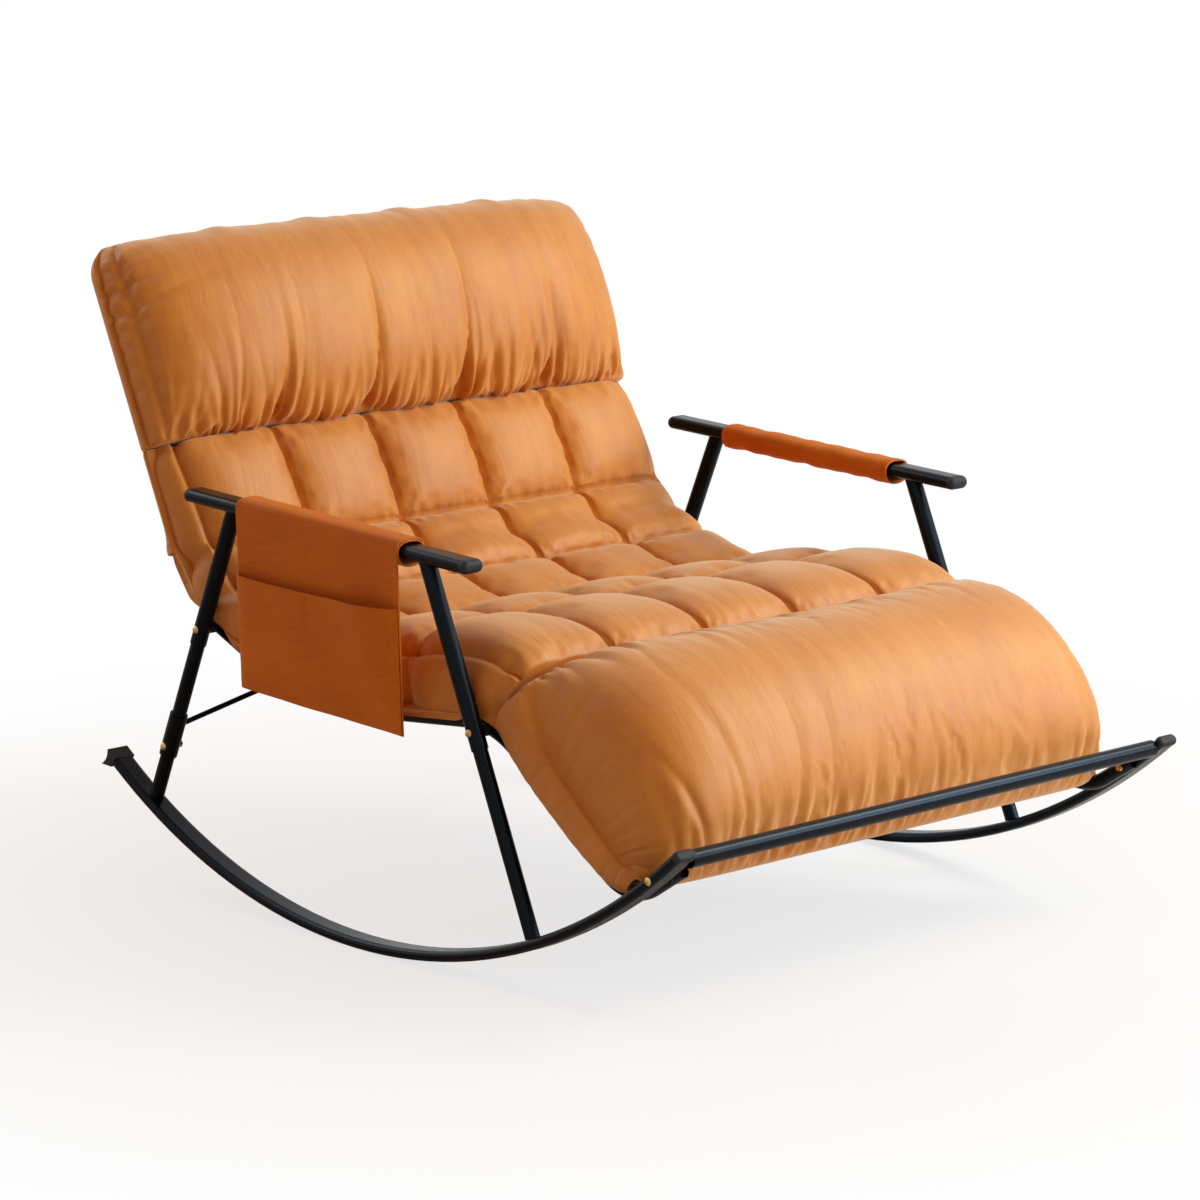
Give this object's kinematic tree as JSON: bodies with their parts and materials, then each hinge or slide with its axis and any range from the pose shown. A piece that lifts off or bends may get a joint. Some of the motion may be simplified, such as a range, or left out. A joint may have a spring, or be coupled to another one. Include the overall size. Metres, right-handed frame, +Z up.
{
  "type": "double rocking chair",
  "caption": "Double rocking chair: a tufted reclined cushion with a head pillow and front bolster on a tube frame with curved runners, padded arms and a hanging side pocket.",
  "frame": {"origin": "on the floor, halfway between the runners, under the centre of their arc", "axes": "+X to the sitter's left, +Y to the back of the chair, +Z up"},
  "size_m": [1.0652, 1.3356, 0.9719],
  "materials": {
    "frame_steel": "matt black powder coat",
    "black_plastic": "moulded, fine grain",
    "bolt_brass": "yellow plated",
    "cushion_cloth": "smooth leather-like cloth over fibre fill, soft sheen",
    "sleeve_cloth": "plain woven cloth with a fine cross rib",
    "sling_cloth": "black woven sling cloth"
  },
  "bodies": {
    "chair": {"left_runner": "frame_steel", "right_runner": "frame_steel", "left_arm_rail": "frame_steel", "right_arm_rail": "frame_steel", "left_front_upper_leg": "frame_steel", "right_front_upper_leg": "frame_steel", "left_front_lower_leg": "frame_steel", "right_front_lower_leg": "frame_steel", "left_rear_upper_leg": "frame_steel", "right_rear_upper_leg": "frame_steel", "left_rear_lower_leg": "frame_steel", "right_rear_lower_leg": "frame_steel", "left_rear_leg_collar": "frame_steel", "right_rear_leg_collar": "frame_steel", "left_rear_runner_stub": "frame_steel", "right_rear_runner_stub": "frame_steel", "left_rear_stay_rod": "frame_steel", "right_rear_stay_rod": "frame_steel", "left_seat_rail": "frame_steel", "right_seat_rail": "frame_steel", "back_hoop": "frame_steel", "back_cross_tube": "frame_steel", "rear_cross_tube": "frame_steel", "toe_cross_tube": "frame_steel", "front_bar": "frame_steel", "left_runner_front_cap": "black_plastic", "right_runner_front_cap": "black_plastic", "left_runner_rear_stop": "black_plastic", "right_runner_rear_stop": "black_plastic", "left_arm_front_plug": "black_plastic", "right_arm_front_plug": "black_plastic", "left_arm_rear_plug": "black_plastic", "right_arm_rear_plug": "black_plastic", "leg_rail_spacers": "black_plastic", "toe_washers": "black_plastic", "leg_joint_bolts": "bolt_brass", "leg_joint_nuts": "bolt_brass", "toe_bolts": "bolt_brass", "toe_nuts": "bolt_brass", "collar_bolts": "bolt_brass", "collar_nuts": "bolt_brass", "head_pillow": "cushion_cloth", "tufted_pad": "cushion_cloth", "front_bolster": "cushion_cloth", "rear_cover": "cushion_cloth", "left_arm_sleeve": "sleeve_cloth", "right_arm_sleeve": "sleeve_cloth", "seat_sling": "sling_cloth"},
    "pocket": {"pocket_panel": "sleeve_cloth", "pocket_pouch": "sleeve_cloth"}
  },
  "joints": [
    {"name": "pocket_swing", "type": "hinge", "parent": "chair", "child": "pocket", "pos_m": [-0.5246, 0.06558, 0.606], "axis": [0, 0.9993, 0.0384], "range_deg": [-4, 75]}
  ]
}
